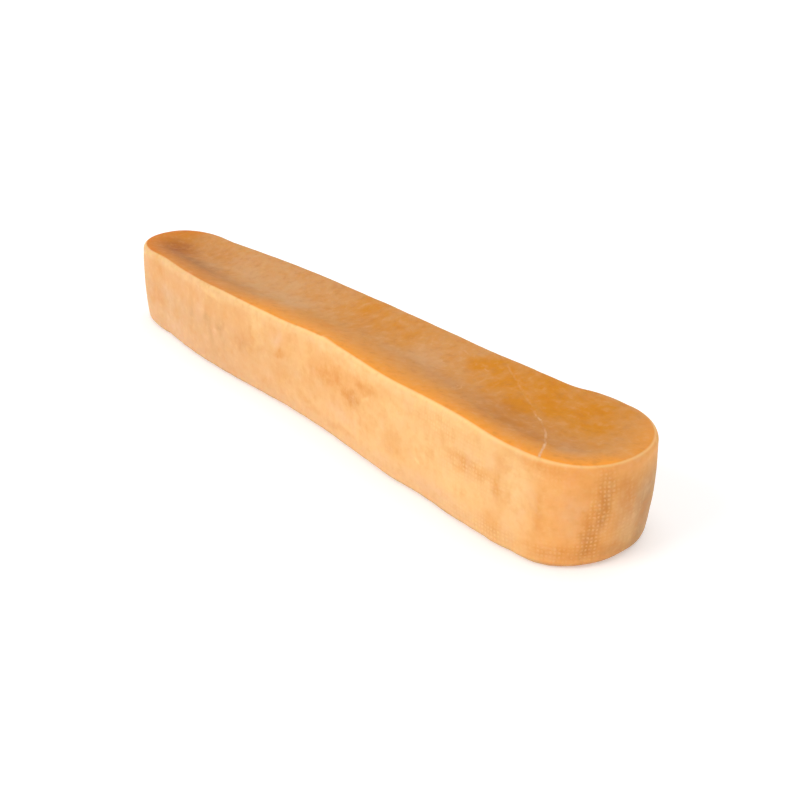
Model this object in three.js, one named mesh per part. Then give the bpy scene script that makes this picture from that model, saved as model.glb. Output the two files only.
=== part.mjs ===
// A hard yak cheese stick: one dried slice, cut from a slab that was pressed in cloth.
// The long walls and both ends are the slab's pressed rind. The top and the underside are the two cut faces,
// which sank between their rims as the slice dried, and the walls bellied out a little.
// Millimetres. +X runs from the narrow end to the wide end, the front wall faces -Y, +Z is up, and the stick
// rests at z = 0 on the rim of its underside.

import * as THREE from "three";
import { ParametricGeometry } from "three/addons/geometries/ParametricGeometry.js";
import { mergeVertices } from "three/addons/utils/BufferGeometryUtils.js";

// Stations along the stick: where the front and the back wall stand, how high the rim is, and how far the top
// face has sunk midway between the walls.
const stations = [
  { x: -66, front: -12.5, back: 10.5, rim: 22.4, sink: 2.2 }, // the narrow end begins
  { x: -48, front: -14.1, back: 12.1, rim: 22.5, sink: 2.3 },
  { x: -28, front: -14.0, back: 13.3, rim: 22.5, sink: 2.2 },
  { x: -7, front: -13.3, back: 13.7, rim: 22.4, sink: 2.0 }, // the front wall's hollow
  { x: 9, front: -13.5, back: 12.0, rim: 23.4, sink: 2.0 }, // the rim steps up here
  { x: 17, front: -14.0, back: 12.2, rim: 23.3, sink: 1.9 },
  { x: 36, front: -15.3, back: 12.2, rim: 23.0, sink: 1.7 },
  { x: 48, front: -15.2, back: 12.6, rim: 23.0, sink: 1.5 },
  { x: 56, front: -15.7, back: 12.2, rim: 23.2, sink: 1.4 },
  { x: 62.5, front: -15.9, back: 12.9, rim: 23.0, sink: 1.3 }, // the notch behind, before the wide end swells
  { x: 65, front: -15.8, back: 14.4, rim: 22.7, sink: 1.2 },
  { x: 69, front: -15.9, back: 15.3, rim: 22.6, sink: 1.1 },
  { x: 73, front: -15.2, back: 15.9, rim: 22.2, sink: 1.0 }, // the wide end begins
];

// The two ends are superellipse arcs. fullness 2 is an ellipse, and more is squarer. tipShift moves the tip
// along Y. lean moves the rim past the base at the tip, and cornerLean moves the rim outwards halfway round
// each corner.
const narrowEnd = {
  tipX: -88.9,
  length: 18.7,
  fullness: { front: 2.1, back: 2.0 },
  tipShift: -0.1,
  lean: { x: 1.2, y: 1.5 },
  cornerLean: { front: 0.5, back: 0 },
};
const wideEnd = {
  tipX: 86.8,
  length: 13.5,
  fullness: { front: 2.2, back: 2.2 },
  tipShift: -0.4,
  lean: { x: 2.2, y: -2.0 },
  cornerLean: { front: -0.65, back: 0.55 },
};

const wall = { belly: 0.6, topRound: 1.2, baseRound: 1.5 };

// A cut face stays level for its margin inside the rounded rim, then sinks. The stick rests on the one below.
const topMargin = 0.4;
const underside = { sink: 0.9, margin: 3.0 };

// How finely the surface is divided.
const steps = { alongWall: 44, roundEnd: 18, cutFace: 7, rounding: 3, downWall: 6 };

const cheeseColour = new THREE.Color().setRGB(0.93, 0.64, 0.34, THREE.SRGBColorSpace);

const firstX = narrowEnd.tipX + narrowEnd.length;
const lastX = wideEnd.tipX - wideEnd.length;

// A smooth value between the stations: a cubic through them, level with the end ones outside.
function smoothBetween(key, x) {
  const last = stations.length - 1;
  const slope = (i) => (stations[i + 1][key] - stations[i][key]) / (stations[i + 1].x - stations[i].x);
  const gap = (i) => stations[i + 1].x - stations[i].x;
  const tangent = (i) => {
    if (i === 0) return slope(0);
    if (i === last) return slope(last - 1);
    return (slope(i - 1) * gap(i) + slope(i) * gap(i - 1)) / (gap(i - 1) + gap(i));
  };
  const at = THREE.MathUtils.clamp(x, stations[0].x, stations[last].x);
  const next = stations.findIndex((s, i) => i > 0 && at <= s.x);
  const i = next - 1;
  const t = (at - stations[i].x) / gap(i);
  const startShare = 2 * t ** 3 - 3 * t ** 2 + 1;
  const bend = gap(i) * ((t ** 3 - 2 * t ** 2 + t) * tangent(i) + (t ** 3 - t ** 2) * tangent(next));
  return startShare * stations[i][key] + (1 - startShare) * stations[next][key] + bend;
}

// A point of one end's arc, from -90 degrees at the front wall to 90 degrees at the back wall.
function endPoint(end, joinX, angle) {
  const side = Math.sin(angle);
  const fullness = side < 0 ? end.fullness.front : end.fullness.back;
  const out = Math.cos(angle) ** (2 / fullness);
  const x = joinX + (end.tipX - joinX) * out;
  const front = smoothBetween("front", x);
  const back = smoothBetween("back", x);
  const across = Math.sign(side) * Math.abs(side) ** (2 / fullness);
  const y = (front + back) / 2 + ((back - front) / 2) * across + end.tipShift * out;
  const cornerLean = side < 0 ? end.cornerLean.front : end.cornerLean.back;
  return {
    x,
    y,
    leanX: end.lean.x * out ** 2,
    leanY: end.lean.y * out ** 2,
    leanOut: cornerLean * Math.abs(Math.sin(2 * angle)),
  };
}

// The wall's line in plan, anticlockwise from the front wall's narrow end. spineX is where each point's
// way across the cut faces meets the line midway between the walls.
function planLine() {
  const line = [];
  const straight = (key, fromX, toX) => {
    for (let i = 0; i <= steps.alongWall; i += 1) {
      const x = THREE.MathUtils.lerp(fromX, toX, i / steps.alongWall);
      line.push({ x, y: smoothBetween(key, x), leanX: 0, leanY: 0, leanOut: 0, spineX: x });
    }
  };
  const round = (end, joinX, direction) => {
    for (let i = 1; i < steps.roundEnd; i += 1) {
      const angle = direction * Math.PI * (i / steps.roundEnd - 0.5);
      line.push({ ...endPoint(end, joinX, angle), spineX: joinX });
    }
  };
  straight("front", firstX, lastX);
  round(wideEnd, lastX, 1);
  straight("back", lastX, firstX);
  round(narrowEnd, firstX, -1);
  line.forEach((point, i) => {
    const before = line.at(i - 1);
    const after = line[(i + 1) % line.length];
    const length = Math.hypot(after.x - before.x, after.y - before.y);
    point.outX = (after.y - before.y) / length;
    point.outY = (before.x - after.x) / length;
    point.spineY = (smoothBetween("front", point.spineX) + smoothBetween("back", point.spineX)) / 2;
    point.rim = smoothBetween("rim", point.x);
  });
  return line;
}

// A point of the rounded and bellied wall, some way inside its line, at height z.
function wallPoint(point, inset, z) {
  const up = z / point.rim;
  const out = wall.belly * Math.sin(Math.PI * up) + point.leanOut * up - inset;
  return new THREE.Vector3(
    point.x + point.outX * out + point.leanX * up,
    point.y + point.outY * out + point.leanY * up,
    z,
  );
}

// A point of a cut face: reach is 0 on the spine and 1 at the inner edge of the level margin.
function cutFacePoint(point, edge, reach, level, sink) {
  const spine = new THREE.Vector3(point.spineX, point.spineY, level);
  const place = spine.lerp(edge, reach);
  place.z = level + sink * (1 - reach ** 2) ** 2;
  return place;
}

// The section that is carried round the plan line, from the middle of the top to the middle of the underside.
function sectionRows() {
  const rows = [];
  const quarter = Math.PI / 2;
  for (let i = 0; i <= steps.cutFace; i += 1) {
    rows.push((p) => {
      const edge = wallPoint(p, wall.topRound + topMargin, p.rim);
      return cutFacePoint(p, edge, i / steps.cutFace, p.rim, -smoothBetween("sink", p.spineX));
    });
  }
  for (let i = 0; i <= steps.rounding; i += 1) {
    const angle = (quarter * i) / steps.rounding;
    const inset = wall.topRound * (1 - Math.sin(angle));
    const drop = wall.topRound * (1 - Math.cos(angle));
    rows.push((p) => wallPoint(p, inset, p.rim - drop));
  }
  for (let i = 1; i < steps.downWall; i += 1) {
    const share = i / steps.downWall;
    rows.push((p) => wallPoint(p, 0, THREE.MathUtils.lerp(p.rim - wall.topRound, wall.baseRound, share)));
  }
  for (let i = 0; i <= steps.rounding; i += 1) {
    const angle = (quarter * i) / steps.rounding;
    const inset = wall.baseRound * (1 - Math.cos(angle));
    const height = wall.baseRound * (1 - Math.sin(angle));
    rows.push((p) => wallPoint(p, inset, height));
  }
  for (let i = steps.cutFace; i >= 0; i -= 1) {
    rows.push((p) => {
      const edge = wallPoint(p, wall.baseRound + underside.margin, 0);
      return cutFacePoint(p, edge, i / steps.cutFace, 0, underside.sink);
    });
  }
  return rows;
}

// The closed surface: the section carried round the plan, welded where it meets itself.
function stickGeometry() {
  const line = planLine();
  const rows = sectionRows();
  const around = line.length;
  const down = rows.length - 1;
  const grid = new ParametricGeometry(
    (u, v, target) => {
      const point = line[Math.round(u * around) % around];
      target.copy(rows[Math.round((1 - v) * down)](point));
    },
    around,
    down,
  );
  grid.deleteAttribute("normal");
  grid.deleteAttribute("uv");
  const welded = mergeVertices(grid, 1e-3);
  const faces = [];
  for (let i = 0; i < welded.index.count; i += 3) {
    const [a, b, c] = [0, 1, 2].map((corner) => welded.index.getX(i + corner));
    if (a !== b && b !== c && c !== a) faces.push(a, b, c); // a fan's tip leaves empty faces
  }
  welded.setIndex(faces);
  welded.computeVertexNormals();
  return welded;
}

const stick = new THREE.Mesh(
  stickGeometry(),
  new THREE.MeshStandardMaterial({ color: cheeseColour, roughness: 0.5, metalness: 0 }),
);
stick.name = "cheese_stick";

const part = new THREE.Group();
part.add(stick);

export default part;
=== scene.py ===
import math

import bpy
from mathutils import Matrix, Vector


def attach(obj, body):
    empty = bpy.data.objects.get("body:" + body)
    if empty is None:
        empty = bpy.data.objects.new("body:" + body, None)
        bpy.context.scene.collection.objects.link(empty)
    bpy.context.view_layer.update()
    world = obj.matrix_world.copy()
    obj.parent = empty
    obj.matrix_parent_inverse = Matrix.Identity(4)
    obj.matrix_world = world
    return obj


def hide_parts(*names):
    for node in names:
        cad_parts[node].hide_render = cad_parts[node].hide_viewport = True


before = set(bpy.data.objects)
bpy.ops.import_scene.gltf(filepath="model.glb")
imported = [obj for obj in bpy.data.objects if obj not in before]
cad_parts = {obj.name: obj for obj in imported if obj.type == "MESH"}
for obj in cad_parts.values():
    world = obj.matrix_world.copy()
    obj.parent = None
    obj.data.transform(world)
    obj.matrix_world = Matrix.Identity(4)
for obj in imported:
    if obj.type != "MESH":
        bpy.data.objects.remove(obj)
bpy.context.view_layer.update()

mm = 0.001


class Value:
    # a node's output that takes part in Python sums: each sign adds one Math node
    def __init__(self, graph, socket):
        self.graph = graph
        self.socket = socket

    def calc(self, operation, *others):
        return self.graph.node("ShaderNodeMath", {"operation": operation}, (self, *others))

    def __add__(self, other):
        return self.calc("ADD", other)

    def __radd__(self, other):
        return self.calc("ADD", other)

    def __sub__(self, other):
        return self.calc("SUBTRACT", other)

    def __rsub__(self, other):
        return self.graph.node("ShaderNodeMath", {"operation": "SUBTRACT"}, (other, self))

    def __mul__(self, other):
        return self.calc("MULTIPLY", other)

    def __rmul__(self, other):
        return self.calc("MULTIPLY", other)

    def __truediv__(self, other):
        return self.calc("DIVIDE", other)

    def __rtruediv__(self, other):
        return self.graph.node("ShaderNodeMath", {"operation": "DIVIDE"}, (other, self))

    def __pow__(self, other):
        return self.calc("POWER", other)

    def __gt__(self, other):
        return self.calc("GREATER_THAN", other)

    def __abs__(self):
        return self.calc("ABSOLUTE")

    def clamp(self, low=0.0, high=1.0):
        return self.calc("MAXIMUM", low).calc("MINIMUM", high)

    def ramp(self, low, high, top=1.0):
        # 0 at low, the top value at high, eased at both, and low may be the larger of the two
        settings = {"interpolation_type": "SMOOTHSTEP"}
        inputs = {"Value": self, "From Min": low, "From Max": high, "To Max": top}
        return self.graph.node("ShaderNodeMapRange", settings, inputs)


# how far each seed moves a noise along X, Y and Z, in metres
seedStep = (0.37, 0.21, 0.53)
# a painted spot has faded out at this many times its half width
spotEdge = 1.1


class Graph:
    # writes nodes into one tree
    def __init__(self, tree):
        self.tree = tree

    def node(self, kind, settings=None, inputs=(), output=0):
        made = self.tree.nodes.new(kind)
        for key, value in (settings or {}).items():
            if key == "points":
                self.setPoints(made.mapping, value)
            else:
                setattr(made, key, value)
        pairs = inputs.items() if isinstance(inputs, dict) else enumerate(inputs)
        for key, value in pairs:
            if isinstance(value, Value):
                self.tree.links.new(value.socket, made.inputs[key])
            else:
                made.inputs[key].default_value = value
        return Value(self, made.outputs[output])

    def setPoints(self, mapping, points):
        mapping.use_clip = False
        curve = mapping.curves[0]
        curve.points[0].location = points[0]
        curve.points[1].location = points[-1]
        for point in points[1:-1]:
            curve.points.new(*point)
        for point in curve.points:
            point.handle_type = "AUTO"
        mapping.update()

    def vector(self, x=0.0, y=0.0, z=0.0):
        return self.node("ShaderNodeCombineXYZ", None, (x, y, z))

    def parts(self, vector):
        return [self.node("ShaderNodeSeparateXYZ", None, (vector,), axis) for axis in range(3)]

    def vectorCalc(self, operation, *inputs):
        output = "Value" if operation in ("LENGTH", "DOT_PRODUCT", "DISTANCE") else "Vector"
        return self.node("ShaderNodeVectorMath", {"operation": operation}, inputs, output)

    def scale(self, vector, factor):
        settings = {"operation": "SCALE"}
        return self.node("ShaderNodeVectorMath", settings, {"Vector": vector, "Scale": factor})

    def mixValues(self, factor, first, second):
        return self.node("ShaderNodeMix", {"data_type": "FLOAT"}, {0: factor, 2: first, 3: second})

    def mixVectors(self, factor, first, second):
        settings = {"data_type": "VECTOR", "clamp_factor": False}
        return self.node("ShaderNodeMix", settings, {0: factor, 4: first, 5: second}, 1)

    def mixColours(self, factor, first, second):
        return self.node("ShaderNodeMix", {"data_type": "RGBA"}, {0: factor, 6: first, 7: second}, 2)

    def noise(self, place, size, detail=2.0, roughness=0.5, seed=0.0, output="Fac"):
        # size is how far apart the lumps are, in metres; the seed picks another stretch of the pattern
        moved = self.vectorCalc("ADD", place, tuple(seed * part for part in seedStep))
        inputs = {"Vector": moved, "Scale": 1.0 / size, "Detail": detail, "Roughness": roughness}
        return self.node("ShaderNodeTexNoise", None, inputs, output)

    def shaken(self, flat, place, sways):
        # a flat place moved about by noise, so that what is painted there gets a natural outline
        for size, reach, seed in sways:
            noise = self.noise(place, size, detail=3.0, roughness=0.55, seed=seed, output="Color")
            sway = self.vectorCalc("SUBTRACT", noise, (0.5, 0.5, 0.5))
            flat = self.vectorCalc("ADD", flat, self.scale(sway, 2.0 * reach))
        return flat

    def patches(self, flat, spots, mottle=1.0):
        # soft oval spots on a flat place in mm: middle, half width, half height, strength
        cover = None
        for along, across, wide, high, strength in spots:
            shrink = (1.0 / wide, 1.0 / high, 0.0)
            shift = (-along / wide, -across / high, 0.0)
            reach = self.vectorCalc("LENGTH", self.vectorCalc("MULTIPLY_ADD", flat, shrink, shift))
            spot = reach.ramp(spotEdge, 0.0, strength)
            cover = spot if cover is None else cover.calc("MAXIMUM", spot)
        return cover * mottle

    def arcs(self, flat, marks, reach, width):
        # short bent scratches on a flat place in mm: middle, bend radius, and the way it bulges in degrees
        cover = None
        x, y, _ = self.parts(flat)
        flat = self.vector(x, y)
        for along, across, bend, heading in marks:
            turn = math.radians(heading)
            centre = (-along + bend * math.cos(turn), -across + bend * math.sin(turn), 0.0)
            gap = abs(self.vectorCalc("LENGTH", self.vectorCalc("ADD", flat, centre)) - bend)
            away = self.vectorCalc("LENGTH", self.vectorCalc("ADD", flat, (-along, -across, 0.0)))
            stroke = gap.ramp(width, width * 0.3) * away.ramp(reach, reach * 0.5)
            cover = stroke if cover is None else cover.calc("MAXIMUM", stroke)
        return cover

    def lineDistance(self, place, points):
        # how far a place is from the nearest stretch of a line, in plan
        x, y, _ = self.parts(place)
        flat = self.vector(x, y)
        nearest = None
        for start, end in zip(points, points[1:]):
            start = Vector((*start, 0.0))
            run = Vector((*end, 0.0)) - start
            fromStart = self.vectorCalc("SUBTRACT", flat, tuple(start))
            along = self.vectorCalc("DOT_PRODUCT", fromStart, tuple(run / run.length_squared)).clamp()
            gap = self.vectorCalc("SUBTRACT", fromStart, self.scale(tuple(run), along))
            distance = self.vectorCalc("LENGTH", gap)
            nearest = distance if nearest is None else nearest.calc("MINIMUM", distance)
        return nearest


def srgb(red, green, blue):
    # a colour as seen on screen, 0 to 255, turned into the linear light that the shader takes
    def linear(part):
        share = part / 255.0
        return share / 12.92 if share <= 0.04045 else ((share + 0.055) / 1.055) ** 2.4

    return (linear(red), linear(green), linear(blue), 1.0)


stick = {
    # the narrow end's tip and how long that end is, then the wide end's
    "Narrow Tip": -88.9 * mm,
    "Narrow Length": 18.7 * mm,
    "Wide Tip": 86.8 * mm,
    "Wide Length": 13.5 * mm,
    # 2 is an ellipse, and more is squarer
    "Narrow Fullness Front": 2.1,
    "Narrow Fullness Back": 2.0,
    "Wide Fullness": 2.2,
    "Narrow Tip Shift": -0.1 * mm,
    "Wide Tip Shift": -0.4 * mm,
    # how far the rim leans past the base at each tip, then outwards halfway round the corners
    "Narrow Lean Along": 1.2 * mm,
    "Narrow Lean Across": 1.5 * mm,
    "Wide Lean Along": 2.2 * mm,
    "Wide Lean Across": -2.0 * mm,
    "Narrow Corner Front": 0.5 * mm,
    "Wide Corner Front": -0.65 * mm,
    "Wide Corner Back": 0.55 * mm,
    "Belly": 0.6 * mm,
    "Top Round": 1.2 * mm,
    "Base Round": 1.5 * mm,
    "Underside Sink": 0.9 * mm,
    # what is above this belongs to the top, not to the underside
    "Mid Height": 10 * mm,
    # the rind's map: what it counts at the front wall's narrow end, where it matches x, and once all round
    "Skin Start": -70.2 * mm,
    "Skin Length": 387.0 * mm,
    # how deep the unevenness of the surface is, and how far apart
    "Lumps": 0.16 * mm,
    "Lump Size": 14 * mm,
    "Puckers": 0.07 * mm,
    "Pucker Size": 2.6 * mm,
    "Cut Smoothness": 0.6,  # the share of the puckers that the cut faces lack
    "Base Waves": 0.3 * mm,
    "Base Wave Size": 6 * mm,
    # the crack's groove and the raised lip beside it, with how far each reaches from its line
    "Crack Depth": 0.16 * mm,
    "Crack Reach": 0.5 * mm,
    "Crack Lip": 0.05 * mm,
    "Crack Lip Reach": 1.3 * mm,
    # the small step in the near rim: along the stick, then across it, then up
    "Rim Step": 0.32 * mm,
    "Step Start": 8.6 * mm,
    "Step Full": 9.8 * mm,
    "Step Fading": 10 * mm,
    "Step End": 16 * mm,
    "Step Inner": -10.5 * mm,
    "Step Outer": -12.5 * mm,
    "Step Low": 20.5 * mm,
    "Step High": 22.5 * mm,
    "Floor Gap": 0.02 * mm,
    "Weld Distance": 0.01 * mm,
    "Seed": 3.0,
    # divisions: along a wall, round an end, then down the section
    "Wall Steps": 330,
    "End Steps": 108,
    "Top Rows": 24,
    "Rounding Rows": 6,
    "Wall Rows": 42,
    "Underside Rows": 20,
}

# x, front wall, back wall, rim height, and how far the top has sunk, in mm
stations = (
    (-66, -12.5, 10.5, 22.4, 2.2),
    (-48, -14.1, 12.1, 22.5, 2.3),
    (-28, -14.0, 13.3, 22.5, 2.2),
    (-7, -13.3, 13.7, 22.4, 2.0),
    (9, -13.5, 12.0, 23.4, 2.0),
    (17, -14.0, 12.2, 23.3, 1.9),
    (36, -15.3, 12.2, 23.0, 1.7),
    (48, -15.2, 12.6, 23.0, 1.5),
    (56, -15.7, 12.2, 23.2, 1.4),
    (62.5, -15.9, 12.9, 23.0, 1.3),
    (65, -15.8, 14.4, 22.7, 1.2),
    (69, -15.9, 15.3, 22.6, 1.1),
    (73, -15.2, 15.9, 22.2, 1.0),
)
frontColumn, backColumn, rimColumn, sinkColumn = 1, 2, 3, 4

# the hairline crack across the wide end, in plan, in mm
crackLine = (
    (42.2, 11.0), (48.9, 7.3), (54.6, 4.1), (61.1, 0.7), (64.5, -1.2), (66.9, -2.3), (70.2, -4.5),
    (72.3, -6.4), (74.3, -8.6), (76.6, -12.0), (78.2, -14.5),
)
crackPoints = [(along * mm, across * mm) for along, across in crackLine]


def stationCurve(graph, x, column):
    # a smooth curve through the stations, drawn true to scale
    start = stations[0][0]
    length = stations[-1][0] - start
    points = [((row[0] - start) / length, row[column] / length) for row in stations]
    share = ((x - start * mm) / (length * mm)).clamp()
    return graph.node("ShaderNodeFloatCurve", {"points": points}, {"Value": share}) * (length * mm)


def endJoins(size):
    # where along the stick the narrow end and the wide end meet the walls
    return size["Narrow Tip"] + size["Narrow Length"], size["Wide Tip"] - size["Wide Length"]


def planFields(graph, share, size):
    # the wall's line in plan: front wall, wide end, back wall, narrow end
    # with it, how the rim stands off that line: along X, along Y and outwards
    around = 2.0 * (size["Wall Steps"] + size["End Steps"])
    wallShare = size["Wall Steps"] / around
    frontRun = (share / wallShare).clamp()
    wideTurn = ((share - wallShare) / (0.5 - wallShare)).clamp()
    backRun = ((share - 0.5) / wallShare).clamp()
    narrowTurn = ((share - 0.5 - wallShare) / (0.5 - wallShare)).clamp()
    angle = (wideTurn - narrowTurn - 0.5) * math.pi
    side = angle.calc("SINE")
    inBack = side > 0.0
    inNarrow = narrowTurn > 0.0
    narrowFullness = graph.mixValues(inBack, size["Narrow Fullness Front"], size["Narrow Fullness Back"])
    power = 2.0 / graph.mixValues(inNarrow, size["Wide Fullness"], narrowFullness)
    wideOut = ((wideTurn - 0.5) * math.pi).calc("COSINE").calc("MAXIMUM", 0.0) ** power
    narrowOut = ((narrowTurn - 0.5) * math.pi).calc("COSINE").calc("MAXIMUM", 0.0) ** power
    firstX, lastX = endJoins(size)
    x = firstX + (lastX - firstX) * (frontRun - backRun)
    x = x + size["Wide Length"] * wideOut - size["Narrow Length"] * narrowOut
    front = stationCurve(graph, x, frontColumn)
    back = stationCurve(graph, x, backColumn)
    across = side.calc("SIGN") * abs(side) ** power
    y = (front + back) * 0.5 + (back - front) * 0.5 * across
    y = y + size["Wide Tip Shift"] * wideOut + size["Narrow Tip Shift"] * narrowOut
    leanX = size["Wide Lean Along"] * wideOut ** 2.0 + size["Narrow Lean Along"] * narrowOut ** 2.0
    leanY = size["Wide Lean Across"] * wideOut ** 2.0 + size["Narrow Lean Across"] * narrowOut ** 2.0
    cornerFront = graph.mixValues(inNarrow, size["Wide Corner Front"], size["Narrow Corner Front"])
    cornerBack = graph.mixValues(inNarrow, size["Wide Corner Back"], 0.0)
    leanOut = graph.mixValues(inBack, cornerFront, cornerBack) * abs((angle * 2.0).calc("SINE"))
    return graph.vector(x, y), graph.vector(leanX, leanY, leanOut)


def sectionShares(size, down):
    # how far a row has come through each stretch of the section, from the top's middle to the underside's
    stretches = ("Top Rows", "Rounding Rows", "Wall Rows", "Rounding Rows", "Underside Rows")
    shares = []
    begun = 0.0
    for name in stretches:
        shares.append(((down - begun) / size[name]).clamp())
        begun = size[name] + begun
    return shares


def relief(graph, place, cut, base, size):
    # how far the surface stands out: slow lumps all over, puckers in the rind and waves along its base
    seeded = graph.vectorCalc("ADD", place, graph.vector(size["Seed"], size["Seed"], size["Seed"]))
    lumps = graph.noise(seeded, size["Lump Size"], detail=1.0)
    lumps = (lumps - 0.5) * 2.0 * size["Lumps"]
    puckers = graph.noise(seeded, size["Pucker Size"], detail=3.0, roughness=0.6)
    puckers = (puckers - 0.5) * 2.0 * size["Puckers"] * (1.0 - cut * size["Cut Smoothness"])
    waves = graph.noise(seeded, size["Base Wave Size"], seed=4)
    waves = (waves - 0.5) * 2.0 * size["Base Waves"] * base
    # the crack in the top, and the small step in the near rim
    x, y, z = graph.parts(place)
    onTop = (z > size["Mid Height"]) * cut
    gap = graph.lineDistance(place, crackPoints)
    groove = gap.ramp(size["Crack Reach"], 0.0) * size["Crack Depth"]
    lip = gap.ramp(size["Crack Lip Reach"], size["Crack Reach"]) * size["Crack Lip"]
    step = x.ramp(size["Step Start"], size["Step Full"]) * x.ramp(size["Step End"], size["Step Fading"])
    step = step * y.ramp(size["Step Inner"], size["Step Outer"])
    step = step * z.ramp(size["Step Low"], size["Step High"]) * size["Rim Step"]
    return lumps + puckers + waves + step - (groove - lip) * onTop


def stickTree(material):
    tree = bpy.data.node_groups.new("stickShape", "GeometryNodeTree")
    tree.interface.new_socket(name="Geometry", in_out="OUTPUT", socket_type="NodeSocketGeometry")
    for name, value in stick.items():
        kind = "NodeSocketInt" if isinstance(value, int) else "NodeSocketFloat"
        tree.interface.new_socket(name=name, in_out="INPUT", socket_type=kind)
    graph = Graph(tree)
    sizes = tree.nodes.new("NodeGroupInput")
    size = {name: Value(graph, sizes.outputs[name]) for name in stick}

    # the plan line, as a ring of points
    around = 2.0 * (size["Wall Steps"] + size["End Steps"])
    ring = graph.node("GeometryNodeCurvePrimitiveCircle", None, {"Resolution": around})
    index = graph.node("GeometryNodeInputIndex")
    line, lean = planFields(graph, index / around, size)
    ring = graph.node("GeometryNodeSetPosition", None, {"Geometry": ring, "Position": line})

    # the section's rows, carried round that line on a grid
    rows = size["Top Rows"] + 2.0 * size["Rounding Rows"] + size["Wall Rows"] + size["Underside Rows"]
    inputs = {"Size X": 1.0, "Size Y": 1.0, "Vertices X": around + 1.0, "Vertices Y": rows + 1.0}
    sheet = graph.node("GeometryNodeMeshGrid", None, inputs)
    position = graph.node("GeometryNodeInputPosition")
    gridX, gridY, _ = graph.parts(position)
    step = ((gridX + 0.5) * around).calc("ROUND")
    down = ((0.5 - gridY) * rows).calc("ROUND")
    ringIndex = step.calc("MODULO", around)

    def onRing(value):
        # what the ring's point beside this place of the grid has
        settings = {"data_type": "FLOAT_VECTOR", "domain": "POINT"}
        inputs = {"Geometry": ring, "Value": value, "Index": ringIndex}
        return graph.node("GeometryNodeSampleIndex", settings, inputs)

    foot = onRing(position)
    heading = onRing(graph.node("GeometryNodeInputTangent"))
    leanX, leanY, leanOut = graph.parts(onRing(lean))
    x, y, _ = graph.parts(foot)
    outward = graph.vectorCalc("NORMALIZE", graph.vectorCalc("CROSS_PRODUCT", heading, (0.0, 0.0, 1.0)))
    topRun, topTurn, wallRun, baseTurn, underRun = sectionShares(size, down)
    topTurn = topTurn * (math.pi / 2)
    baseTurn = baseTurn * (math.pi / 2)

    # the rounded and bellied wall
    rim = stationCurve(graph, x, rimColumn)
    straight = rim - size["Top Round"] - size["Base Round"]
    z = rim - size["Top Round"] * (1.0 - topTurn.calc("COSINE")) - straight * wallRun
    z = z - size["Base Round"] * baseTurn.calc("SINE")
    topInset = 1.0 - topTurn.calc("SINE")
    baseInset = 1.0 - baseTurn.calc("COSINE")
    up = z / rim
    stand = size["Belly"] * (up * math.pi).calc("SINE") + leanOut * up
    stand = stand - size["Top Round"] * topInset - size["Base Round"] * baseInset
    edge = graph.vectorCalc("ADD", foot, graph.scale(outward, stand))
    edge = graph.vectorCalc("ADD", edge, graph.scale(graph.vector(leanX, leanY), up))

    # the cut faces, between the rim and the line midway between the walls
    reach = topRun * (1.0 - underRun)
    firstX, lastX = endJoins(size)
    middle = (stationCurve(graph, x, frontColumn) + stationCurve(graph, x, backColumn)) * 0.5
    spine = graph.vector(x.calc("MAXIMUM", firstX).calc("MINIMUM", lastX), middle)
    flat = graph.mixVectors(reach, spine, edge)
    fromRim = graph.vectorCalc("DISTANCE", flat, edge)
    sunk = stationCurve(graph, x, sinkColumn) * (1.0 - topRun * topRun) ** 2.0
    raised = size["Underside Sink"] * (1.0 - (1.0 - underRun) * (1.0 - underRun)) ** 3.0
    flatX, flatY, _ = graph.parts(flat)
    place = graph.vector(flatX, flatY, z - sunk + raised)
    cut = topInset.calc("MAXIMUM", baseInset)
    base = (baseTurn.calc("SINE") * (1.0 - underRun)).clamp()

    # what the material reads: the rind's own map, the cut faces, how far in from the rim and how far below it
    skin = graph.vector(size["Skin Start"] + step / around * size["Skin Length"], z)
    store = {"data_type": "FLOAT2", "domain": "CORNER"}
    inputs = {"Geometry": sheet, "Name": "skinMap", "Value": skin}
    sheet = graph.node("GeometryNodeStoreNamedAttribute", store, inputs)
    for name, value in (("cutShare", cut), ("baseShare", base), ("fromRim", fromRim), ("belowRim", rim - z)):
        store = {"data_type": "FLOAT", "domain": "POINT"}
        inputs = {"Geometry": sheet, "Name": name, "Value": value}
        sheet = graph.node("GeometryNodeStoreNamedAttribute", store, inputs)
    shape = graph.node("GeometryNodeSetPosition", None, {"Geometry": sheet, "Position": place})
    inputs = {"Geometry": shape, "Distance": size["Weld Distance"]}
    shape = graph.node("GeometryNodeMergeByDistance", None, inputs)

    # the unevenness, along the surface's own normal
    settings = {"data_type": "FLOAT"}
    cutShare = graph.node("GeometryNodeInputNamedAttribute", settings, {"Name": "cutShare"})
    baseShare = graph.node("GeometryNodeInputNamedAttribute", settings, {"Name": "baseShare"})
    normal = graph.node("GeometryNodeInputNormal")
    offset = graph.scale(normal, relief(graph, position, cutShare, baseShare, size))
    shape = graph.node("GeometryNodeSetPosition", None, {"Geometry": shape, "Offset": offset})
    # nothing sinks into the table: the lowest lumps are pressed flat on it
    restX, restY, restZ = graph.parts(position)
    resting = graph.vector(restX, restY, restZ.calc("MAXIMUM", size["Floor Gap"]))
    shape = graph.node("GeometryNodeSetPosition", None, {"Geometry": shape, "Position": resting})
    shape = graph.node("GeometryNodeRealizeInstances", None, {"Geometry": shape})
    shape = graph.node("GeometryNodeSetMaterial", None, {"Geometry": shape, "Material": material})
    tree.links.new(shape.socket, tree.nodes.new("NodeGroupOutput").inputs[0])
    return tree


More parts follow.
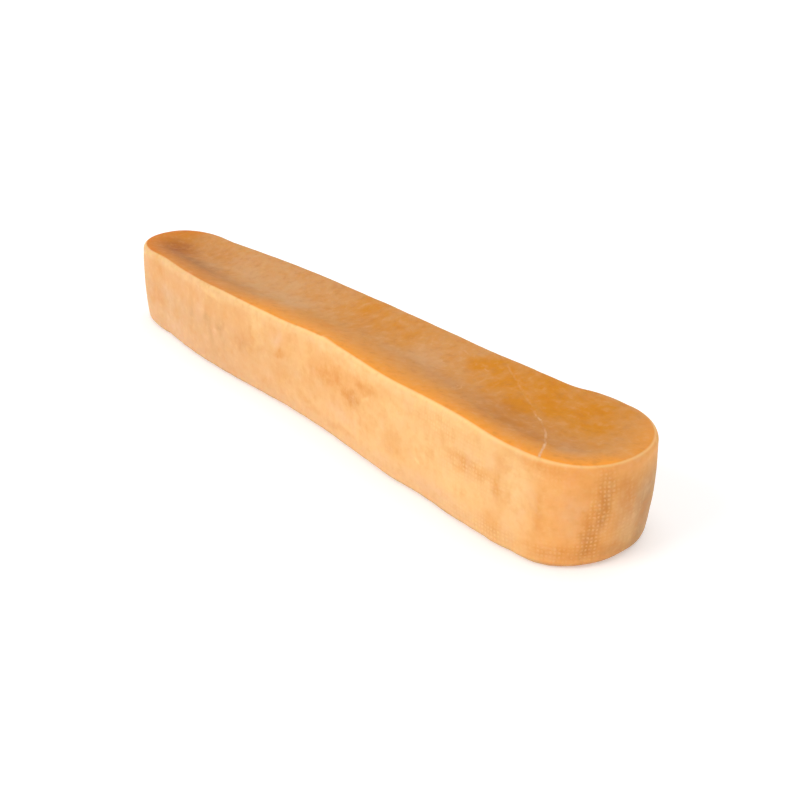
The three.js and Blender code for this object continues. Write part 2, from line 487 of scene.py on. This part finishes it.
def makeStick(material):
    tree = stickTree(material)
    blank = bpy.data.objects.new("stickBlank", bpy.data.meshes.new("stickBlank"))
    bpy.context.scene.collection.objects.link(blank)
    modifier = blank.modifiers.new("stickShape", "NODES")
    modifier.node_group = tree
    for item in tree.interface.items_tree:
        if item.in_out == "INPUT":
            modifier[item.identifier] = stick[item.name]
    depsgraph = bpy.context.evaluated_depsgraph_get()
    evaluated = blank.evaluated_get(depsgraph)
    mesh = bpy.data.meshes.new_from_object(evaluated, preserve_all_data_layers=True, depsgraph=depsgraph)
    mesh.name = "cheeseStick"
    mesh.materials.pop(index=0)  # the grid's own empty slot
    mesh.shade_smooth()
    bpy.data.objects.remove(blank)
    piece = bpy.data.objects.new("cheeseStick", mesh)
    bpy.context.scene.collection.objects.link(piece)
    print("stick:", len(mesh.vertices), "points,", len(mesh.polygons), "faces")
    return piece


cheese = {
    "weave": 0.9 * mm,  # from thread to thread; a whole number of them goes round the rind
    "weaveDepth": 0.07 * mm,
    "grainDepth": 0.05 * mm,
    "narrowTipSkin": -83.5 * mm,  # what the rind's map counts at the narrow tip
    "faceEdge": (0.45, 0.85),  # how far round the rim's edge the rind gives way to the cut face
    "rindMottle": 0.35,  # how unevenly the rind's marks take, and the cut faces'
    "faceMottle": 0.2,
    # the rind's soft clouding and the fine speckle all over: how far from its middle the noise has its full
    # effect, then how strong the darker paint is and the paler one
    "cloud": (0.28, 0.32, 0.32),
    "fine": (0.25, 0.2, 0.16),
    "haze": 0.7,  # how uneven the cut faces' bloom is
    "knots": 0.28,  # how pale the print's knots are
    "bareKnots": 0.6,  # how much of a browned mark they lack
    "threadShare": 0.45,  # how far up a knot the threads reach
    "threads": 0.5,  # how dark they are
    "wornPrint": (0.4, 0.65, 0.2),  # the faint print that shows here and there all over
    "raggedPrint": (0.34, 0.66),
    "raggedLeast": 0.15,  # how much of the print is left where it is most ragged
    "rindRoughness": 0.62,
    "faceRoughness": 0.46,
    "refraction": 1.45,
    "gloss": 0.25,
    "subsurface": 0.4,
    "subsurfaceReach": (1.0, 0.35, 0.1),
    "subsurfaceScale": 2.5 * mm,
}

paints = {
    "straw": srgb(241, 188, 124),  # the rind
    "fawn": srgb(223, 171, 119),  # the duller rind towards the narrow end
    "apricot": srgb(243, 172, 96),  # the warmer rind round the wide end
    "tan": srgb(194, 146, 98),  # painted shade: the duller, darker rind low on the wide tip, where it turns from the light
    "peach": srgb(236, 188, 145),
    "cream": srgb(253, 214, 148),
    "toffee": srgb(221, 140, 55),
    "brown": srgb(182, 118, 58),
    # grey-brown: dust on the top near the narrow end, and painted contact shadow along the rind's foot
    "dustAndShadow": srgb(146, 112, 78),
    "amber": srgb(214, 134, 8),  # clear, oily cheese in the cut faces
    "bloom": srgb(213, 158, 104),  # the dry film that dulls it
    "cocoa": srgb(172, 94, 32),
    "orange": srgb(247, 158, 50),  # painted glow of light through the near rim
    "ochre": srgb(220, 126, 8),  # the same painted glow, darker, at the narrow tip
}

# how far apart each noise's lumps are, then its detail, roughness and seed
noises = {
    "rindMottle": (2.4 * mm, 4.0, 0.6, 13),
    "rindCloud": (5 * mm, 4.0, 0.62, 2),
    "faceMottle": (2.2 * mm, 4.0, 0.6, 24),
    "faceHaze": (5 * mm, 4.0, 0.65, 23),
    "crackGaps": (2.2 * mm, 2.0, 0.5, 32),
    "wornPrint": (6 * mm, 3.0, 0.6, 52),
    "raggedPrint": (1.2 * mm, 3.0, 0.6, 55),
    "fine": (1.8 * mm, 3.0, 0.55, 41),
    "grain": (0.7 * mm, 3.0, 0.6, 9),
}

# what pulls the marks' outlines about: how far apart the sways are, how far each reaches, and its seed
# the marks and spots are placed in mm, so their reach is in mm too
sways = {
    "rindMarks": ((6 * mm, 2.6, 11), (1.8 * mm, 0.9, 12)),
    "faceMarks": ((7 * mm, 2.6, 21), (1.8 * mm, 0.8, 22)),
    "printSpots": ((4 * mm, 1.8, 54),),
    "threads": ((5 * mm, 0.4 * mm, 51), (1.3 * mm, 0.24 * mm, 53)),
    "crack": ((1.6 * mm, 0.3 * mm, 31),),
}

# broad layers of the rind in the order they are laid, some under the marks and some over them: the paint, its
# strength, and where along the rind and up it the paint begins and is full, in mm
rindLayers = {
    "under": (
        ("fawn", 1.0, (("along", 34, -52),)),
        ("apricot", 1.0, (("along", 75, 88),)),
        # painted shade on the wide tip's lower rind
        ("tan", 0.9, (("along", 93, 105), ("height", 22, 13))),
        ("apricot", 0.3, (("along", 60, 20), ("height", 12, 17), ("height", 22.5, 19.5))),
    ),
    "over": (
        # painted light correction: paler and greyer low down, to offset the floor's warm bounce light
        ("peach", 0.3, (("along", 76, 62), ("height", 7.0, 2.0))),
        ("dustAndShadow", 0.07, (("height", 6.0, 2.0),)),
        # painted contact shadow along the foot, where the rind meets the board
        ("dustAndShadow", 0.55, (("height", 1.5, 0.4),)),
    ),
}

paleRimAndHighlight = {
    # painted highlight, the pale band under the rim: how far below it and where along the rind it begins and
    # is full
    "below": (3.0 * mm, 1.0 * mm, 0.3),
    "along": (84, 62),
    # the paler line round the rim's edge, a pale edge with painted highlight on it, fainter at the narrow end
    # and thinner at the wide end
    "edge": (0.0, 0.35, 0.5),
    "edgeAlong": (-50, -15),
    "edgeLeast": 0.3,
    "edgeThinner": (76, 98, 0.2),
}

# marks on the rind in the order they are laid: each spot's place along and height, its reach both ways and
# its strength
rindMarks = {
    "peach": (
        (-60, 5, 16, 4.5, 0.35), (-43, 16, 3.5, 5, 0.35), (-35.3, 11, 1.8, 4, 0.35), (-64, 14.5, 6, 2.5, 0.2),
        (-7.5, 17.3, 4, 2.6, 0.45), (20, 8, 10, 4, 0.35), (36, 4, 5, 3, 0.35), (52, 4, 14, 4, 0.45),
        (77, 12, 4, 9, 0.2), (88, 12, 4.5, 8, 0.3), (100, 11, 3, 8, 0.2),
    ),
    "cream": (
        (-15.5, 18.5, 4.5, 5, 0.45), (4, 15, 3.5, 9, 0.25), (22, 20.6, 16, 1.6, 0.25),
        (-36, 20.5, 8, 1.6, 0.3), (30.8, 16, 2.2, 1.1, 0.4), (47.5, 8.6, 1.2, 0.8, 0.6),
        (53.5, 19.5, 1.6, 1.5, 0.45), (42, 17, 7, 4, 0.25), (50, 13, 8, 6, 0.2), (76.5, 15, 3.5, 8, 0.25),
        (60, 9, 8, 4, 0.25), (66, 8, 6, 3, 0.2), (101, 6, 3, 5, 0.2),
    ),
    "toffee": (
        (18, 15.8, 18, 4.6, 0.5), (24, 14.2, 8, 4.2, 0.75), (14, 14.8, 11, 5, 0.6), (29, 18.2, 10, 2.6, 0.5),
        (4, 11, 9, 6, 0.3), (18, 11, 12, 3, 0.25), (3.5, 6.3, 5, 1.8, 0.35), (9, 4.4, 4.5, 1.6, 0.35),
        (19, 3.8, 9, 1.6, 0.4), (-7.5, 13.8, 4.5, 2.6, 0.6), (-6, 9.5, 9, 4, 0.3), (-12, 4.5, 8, 2.6, 0.2),
        (-21, 12, 9, 5, 0.3), (-70.5, 10.5, 8, 3.6, 0.4), (-18.5, 15.5, 3.5, 2.5, 0.35),
        (39, 9.6, 4.5, 4, 0.35), (44.5, 9.8, 2.5, 1.6, 0.25), (65, 15, 11, 1.9, 0.65),
        (62, 13.2, 7, 1.2, 0.35), (71, 5, 4.5, 5, 0.4), (72.2, 14, 2.2, 9, 0.42), (80, 20.8, 16, 2.2, 0.4),
        (20, 21.4, 6, 1.6, 0.3), (82, 12, 2.2, 8, 0.4), (86, 3.4, 14, 2.6, 0.42), (92.4, 8, 3.4, 9, 0.85),
        (94.8, 15, 2.6, 7, 0.8), (99.8, 15, 1.6, 7, 0.5), (98, 17, 11, 3.2, 0.4), (30, 9, 6, 2, 0.2),
    ),
    "brown": (
        (-39.3, 13.4, 3, 2.6, 0.26), (-32.6, 13.4, 2.6, 2.2, 0.3), (-37.8, 11, 1.8, 11, 0.15),
        (-32, 11, 1.6, 10, 0.15), (-47.8, 12.5, 2.2, 7, 0.15), (-36, 4.7, 4.5, 2.6, 0.18),
        (-22, 11.5, 6, 3, 0.14), (92, 6, 2.6, 5.5, 0.34), (93.6, 10.5, 2.2, 6, 0.34), (95, 15.5, 2, 6, 0.34),
        (104, 8, 4, 10, 0.25), (25, 14, 4, 3, 0.14), (96, 3, 7, 3, 0.2),
    ),
}

# where the cloth has left its print, on the rind
printSpots = (
    (64, 14, 13, 5, 0.8), (57, 19.5, 15, 4, 0.9), (69, 3, 13, 4, 0.8), (92.3, 6, 4, 7, 1.6),
    (93.6, 11, 3.4, 7, 1.6), (95, 17, 3.4, 7, 1.6), (86, 3.2, 11, 3, 0.8), (99, 9, 6, 12, 0.5),
    (80, 19, 9, 4, 0.3),
)

# where the cut faces are dull with bloom, clear, browned and dusty, in plan
bloomSpots = (
    (-38, 2, 36, 15, 0.4), (-22, -1, 17, 9, 0.5), (30, -1, 14, 9, 0.35), (42, -5, 9, 4, 0.2),
    (78, -7, 9, 5, 0.25),
)
clearSpots = (
    (58, 5, 26, 13, 0.42), (43, 7, 8, 6, 0.5), (60, -1, 9, 5, 0.55), (70, 5, 18, 15, 0.45),
    (3, 7, 18, 10, 0.3), (-82, 0, 10, 10, 0.4), (-58, -10, 24, 4.5, 0.3), (64, -8, 14, 5, 0.25),
    (-2, -6, 12, 6, 0.25),
)
brownSpots = (
    (-75, -3.5, 14, 8, 0.82), (-67, -6.5, 20, 7, 0.68), (-55, -7, 20, 6, 0.46), (-66, 2, 16, 7, 0.2),
    (-41, -7, 16, 5, 0.28), (-64, -11, 24, 4.5, 0.45), (65, -8.5, 20, 5, 0.36), (60, -5, 20, 6, 0.3),
    (40, -5, 18, 5, 0.2), (30, -4, 22, 6, 0.14), (1, -7, 14, 5, 0.15), (60, -11.5, 18, 3.5, 0.34),
    (12, -7, 34, 4, 0.12), (18, -2, 2.6, 2, 0.12), (8, -0.5, 4, 2.6, 0.12), (78, -6, 8, 5, 0.2),
    (6, 2, 14, 6, 0.08),
)
dustSpots = ((-61, -5.5, 13, 6, 0.24), (-80, 5, 8, 5, 0.18))

# fine scratches in the top: place, bend radius, and the way each bulges, in mm and degrees
scratches = (
    (45.1, -5.0, 1.8, 20), (46.3, -4.6, 1.8, 20), (35.7, -1.0, 4.0, -70), (33.0, 1.8, 8.0, 85),
    (34.1, 7.2, 8.0, 85), (43.5, 4.8, 6.0, 70),
)
scratchPaint = {"reach": 1.7, "width": 0.3, "strength": 0.22}

# painted glow: light shining through the thin near rim, painted where a cut face comes up to it
paintedRimGlow = {
    # how far in from the rim it reaches, midway and then towards each end
    "reach": 11 * mm,
    "wideReach": 5.5 * mm,
    "wideFrom": (34 * mm, 60 * mm),
    "narrowReach": 6.5 * mm,
    "narrowFrom": (-16 * mm, -34 * mm),
    # where across the stick it begins and is full, and how far it goes on round each tip
    "nearSide": (1 * mm, -6 * mm),
    "wideTip": (76 * mm, 85 * mm, 0.5),
    "narrowTip": (-74 * mm, -82 * mm, 0.9),
    # it is orange, then these towards the narrow end
    "toffeeFrom": (-14 * mm, -36 * mm),
    "ochreFrom": (-62 * mm, -76 * mm),
}

# the crack's pale line
crackPaint = {
    # how far off its middle it begins and is full
    "edge": (0.36 * mm, 0.06 * mm),
    # how strong it is all along, then midway and at the near rim, with where along the stick
    "faint": 0.16,
    "midway": 0.5,
    "midwayFrom": (63.5 * mm, 65 * mm),
    "midwayTo": (68 * mm, 66.5 * mm),
    "nearRim": (68 * mm, 76 * mm, 0.8),
    # what the noise counts in its gaps and where it is whole
    "gaps": (0.34, 0.58),
}


def rindPlace(graph, skin):
    # the rind's map in mm, with the hidden wall folded over onto the visible one, so both bear the same marks
    along, height, _ = graph.parts(skin)
    start = cheese["narrowTipSkin"]
    along = (along - start).calc("PINGPONG", stick["Skin Length"] / 2) + start
    return graph.scale(graph.vector(along, height), 1 / mm)


def mottled(graph, place, name):
    # how strongly the marks take from place to place, as much above 1 as below it
    spread = cheese[name]
    return graph.noise(place, *noises[name]).ramp(0.3, 0.7) * (2.0 * spread) + (1.0 - spread)


def speckled(graph, noise, colour, darker, paler, amounts):
    # the noise lays the darker paint where it is above its middle, and the paler one where it is below
    spread, darkerStrength, palerStrength = amounts
    colour = graph.mixColours(noise.ramp(0.5, 0.5 + spread, darkerStrength), colour, darker)
    return graph.mixColours(noise.ramp(0.5, 0.5 - spread, palerStrength), colour, paler)


def layRind(graph, colour, layers, along, height):
    # each layer shows where all its stretches cover
    directions = {"along": along, "height": height}
    for name, strength, stretches in layers:
        cover = strength
        for direction, begin, full in stretches:
            cover = directions[direction].ramp(begin, full) * cover
        colour = graph.mixColours(cover, colour, paints[name])
    return colour


def rindColour(graph, place, flatSkin, belowRim, cut, dots):
    along, height, _ = graph.parts(flatSkin)
    colour = layRind(graph, paints["straw"], rindLayers["under"], along, height)
    flat = graph.shaken(flatSkin, place, sways["rindMarks"])
    mottle = mottled(graph, place, "rindMottle")
    betweenKnots = 1.0 - dots * cheese["bareKnots"]
    for name, spots in rindMarks.items():
        inside = mottle * betweenKnots if name in ("toffee", "brown") else mottle
        colour = graph.mixColours(graph.patches(flat, spots, inside), colour, paints[name])
    cloud = graph.noise(place, *noises["rindCloud"])
    colour = speckled(graph, cloud, colour, paints["toffee"], paints["peach"], cheese["cloud"])
    # painted highlight: pale under the rim, and paler still on its edge, which is a pale edge with painted
    # highlight over it
    underRimHighlight = belowRim.ramp(*paleRimAndHighlight["below"]) * along.ramp(*paleRimAndHighlight["along"])
    colour = graph.mixColours(underRimHighlight * mottle, colour, paints["cream"])
    most = along.ramp(*paleRimAndHighlight["edgeAlong"]) * (1.0 - paleRimAndHighlight["edgeLeast"]) + paleRimAndHighlight["edgeLeast"]
    edge = (cut - along.ramp(*paleRimAndHighlight["edgeThinner"])).ramp(*paleRimAndHighlight["edge"]) * most
    colour = graph.mixColours(edge, colour, paints["cream"])
    # greyer low down, painted to offset the floor's warm bounce light, and a painted contact shadow along the
    # foot
    return layRind(graph, colour, rindLayers["over"], along, height)


def faceColour(graph, place, fromRim):
    x, y, height = graph.parts(place)
    onTop = height > stick["Mid Height"]
    flat = graph.shaken(graph.scale(place, 1 / mm), place, sways["faceMarks"])
    mottle = mottled(graph, place, "faceMottle")
    haze = (graph.noise(place, *noises["faceHaze"]) - 0.5) * (2.0 * cheese["haze"])
    bloom = graph.patches(flat, bloomSpots) - graph.patches(flat, clearSpots) + haze + 0.5
    colour = graph.mixColours(bloom, paints["amber"], paints["bloom"])
    colour = graph.mixColours(graph.patches(flat, brownSpots, mottle), colour, paints["cocoa"])
    colour = graph.mixColours(graph.patches(flat, dustSpots, mottle), colour, paints["dustAndShadow"])
    strokes = graph.arcs(flat, scratches, scratchPaint["reach"], scratchPaint["width"])
    colour = graph.mixColours(strokes * onTop * scratchPaint["strength"], colour, paints["peach"])
    # painted glow where a cut face comes up to the near rim
    reach = graph.mixValues(x.ramp(*paintedRimGlow["wideFrom"]), paintedRimGlow["reach"], paintedRimGlow["wideReach"])
    reach = graph.mixValues(x.ramp(*paintedRimGlow["narrowFrom"]), reach, paintedRimGlow["narrowReach"])
    nearSide = y.ramp(*paintedRimGlow["nearSide"])
    for tip in ("wideTip", "narrowTip"):
        nearSide = nearSide.calc("MAXIMUM", x.ramp(*paintedRimGlow[tip]))
    paintedGlowColour = graph.mixColours(x.ramp(*paintedRimGlow["toffeeFrom"]), paints["orange"], paints["toffee"])
    paintedGlowColour = graph.mixColours(x.ramp(*paintedRimGlow["ochreFrom"]), paintedGlowColour, paints["ochre"])
    colour = graph.mixColours((1.0 - fromRim / reach).clamp() * nearSide, colour, paintedGlowColour)
    return graph.mixColours(crackCover(graph, place) * onTop, colour, paints["peach"])


def crackCover(graph, place):
    # broken up along its length: a short bright stretch midway, then brightest at the near rim
    x, _, _ = graph.parts(place)
    gap = graph.lineDistance(graph.shaken(place, place, sways["crack"]), crackPoints)
    midway = x.ramp(*crackPaint["midwayFrom"]) * x.ramp(*crackPaint["midwayTo"]) * crackPaint["midway"]
    strength = midway + x.ramp(*crackPaint["nearRim"]) + crackPaint["faint"]
    broken = graph.noise(place, *noises["crackGaps"]).ramp(*crackPaint["gaps"])
    return gap.ramp(*crackPaint["edge"]) * strength * broken


def clothPrint(graph, place, skin, flatSkin, cut):
    # a pale knot between each four threads, and how clearly the print shows from place to place
    tread = 2 * math.pi / cheese["weave"]
    along, height, _ = graph.parts(graph.shaken(skin, place, sways["threads"]))
    dots = ((along * tread).calc("COSINE") * 0.5 + 0.5) * ((height * tread).calc("COSINE") * 0.5 + 0.5)
    worn = graph.noise(place, *noises["wornPrint"]).ramp(*cheese["wornPrint"])
    least = cheese["raggedLeast"]
    ragged = graph.noise(place, *noises["raggedPrint"]).ramp(*cheese["raggedPrint"]) * (1.0 - least) + least
    shown = graph.patches(graph.shaken(flatSkin, place, sways["printSpots"]), printSpots) + worn
    return dots, (shown * ragged * (1.0 - cut)).clamp()


def cheeseMaterial():
    material = bpy.data.materials.new("hardCheese")
    material.use_nodes = True
    material.node_tree.nodes.clear()
    graph = Graph(material.node_tree)
    place = graph.node("ShaderNodeTexCoord", None, (), "Object")
    cut, fromRim, belowRim = (
        graph.node("ShaderNodeAttribute", {"attribute_name": name}, (), "Fac")
        for name in ("cutShare", "fromRim", "belowRim")
    )
    skin = graph.node("ShaderNodeUVMap", {"uv_map": "skinMap"})
    flatSkin = rindPlace(graph, skin)

    dots, printed = clothPrint(graph, place, skin, flatSkin, cut)
    rind = rindColour(graph, place, flatSkin, belowRim, cut, dots * printed)
    rind = graph.mixColours(dots * printed * cheese["knots"], rind, paints["cream"])
    threads = (cheese["threadShare"] - dots).clamp() * printed * cheese["threads"]
    rind = graph.mixColours(threads, rind, paints["toffee"])
    face = faceColour(graph, place, fromRim)
    colour = graph.mixColours(cut.ramp(*cheese["faceEdge"]), rind, face)
    fine = graph.noise(place, *noises["fine"])
    darker = graph.mixColours(cut, paints["toffee"], paints["cocoa"])
    paler = graph.mixColours(cut, paints["cream"], paints["peach"])
    colour = speckled(graph, fine, colour, darker, paler, cheese["fine"])

    grain = (graph.noise(place, *noises["grain"]) - 0.5) * cheese["grainDepth"]
    raised = dots * printed * cheese["weaveDepth"] + grain
    bump = graph.node("ShaderNodeBump", None, {"Height": raised, "Distance": 1.0, "Strength": 1.0})
    roughness = graph.mixValues(cut, cheese["rindRoughness"], cheese["faceRoughness"])
    inputs = {
        "Base Color": colour,
        "Roughness": roughness,
        "Normal": bump,
        "IOR": cheese["refraction"],
        "Specular IOR Level": cheese["gloss"],
        "Subsurface Weight": cheese["subsurface"],
        "Subsurface Radius": cheese["subsurfaceReach"],
        "Subsurface Scale": cheese["subsurfaceScale"],
    }
    shader = graph.node("ShaderNodeBsdfPrincipled", None, inputs)
    end = material.node_tree.nodes.new("ShaderNodeOutputMaterial")
    material.node_tree.links.new(shader.socket, end.inputs["Surface"])
    return material


studio = {
    "floor": 0.85,
    "floorGlow": 0.33,
    "floorRoughness": 0.9,
    "floorSize": 12.0,
    "sky": 0.53,
    # place, size across and power of each lamp
    "key": ((-1.2, -4.6, 3.3), 3.2, 122.0),
    "overhead": ((0.2, 0.6, 4.4), 4.0, 64.0),
}

view = {
    "azimuth": 51.31,
    "elevation": 25.32,
    "distance": 245.49 * mm,
    "target": (25.36 * mm, -3.55 * mm, 11.0 * mm),
    "lens": 50.0,
    "sensorWidth": 36.0,
    "clipStart": 10 * mm,
}


def makeFloor():
    half = studio["floorSize"] / 2
    mesh = bpy.data.meshes.new("floor")
    corners = [(-half, -half, 0.0), (half, -half, 0.0), (half, half, 0.0), (-half, half, 0.0)]
    mesh.from_pydata(corners, [], [(0, 1, 2, 3)])
    material = bpy.data.materials.new("paleFloor")
    material.use_nodes = True
    shader = material.node_tree.nodes["Principled BSDF"]
    shader.inputs["Base Color"].default_value = (*(studio["floor"],) * 3, 1.0)
    shader.inputs["Roughness"].default_value = studio["floorRoughness"]
    shader.inputs["Emission Color"].default_value = (1.0, 1.0, 1.0, 1.0)
    shader.inputs["Emission Strength"].default_value = studio["floorGlow"]
    mesh.materials.append(material)
    floor = bpy.data.objects.new("floor", mesh)
    bpy.context.scene.collection.objects.link(floor)


def makeLight(name, place, size, power):
    light = bpy.data.lights.new(name, "AREA")
    light.shape = "DISK"
    light.size = size
    light.energy = power
    lamp = bpy.data.objects.new(name, light)
    lamp.location = place
    lamp.rotation_euler = Vector(place).to_track_quat("Z", "Y").to_euler()
    bpy.context.scene.collection.objects.link(lamp)


def makeStudio():
    world = bpy.data.worlds.new("studio")
    world.use_nodes = True
    sky = world.node_tree.nodes["Background"]
    sky.inputs["Color"].default_value = (1.0, 1.0, 1.0, 1.0)
    sky.inputs["Strength"].default_value = studio["sky"]
    bpy.context.scene.world = world
    for name in ("key", "overhead"):
        makeLight(name, *studio[name])
    bpy.context.scene.view_settings.view_transform = "Standard"
    bpy.context.scene.view_settings.look = "None"


def makeCamera():
    azimuth = math.radians(view["azimuth"])
    elevation = math.radians(view["elevation"])
    level = math.cos(elevation)
    back = Vector((math.sin(azimuth) * level, -math.cos(azimuth) * level, math.sin(elevation)))
    camera = bpy.data.cameras.new("camera")
    camera.lens = view["lens"]
    camera.sensor_width = view["sensorWidth"]
    camera.clip_start = view["clipStart"]
    holder = bpy.data.objects.new("camera", camera)
    holder.location = Vector(view["target"]) + back * view["distance"]
    holder.rotation_euler = back.to_track_quat("Z", "Y").to_euler()
    bpy.context.scene.collection.objects.link(holder)
    bpy.context.scene.camera = holder


makeCamera()
print("camera placed")
cheeseStick = makeStick(cheeseMaterial())
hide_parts("cheese_stick")
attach(cheeseStick, "root")
print("stick dressed")
makeFloor()
makeStudio()
print("studio set")
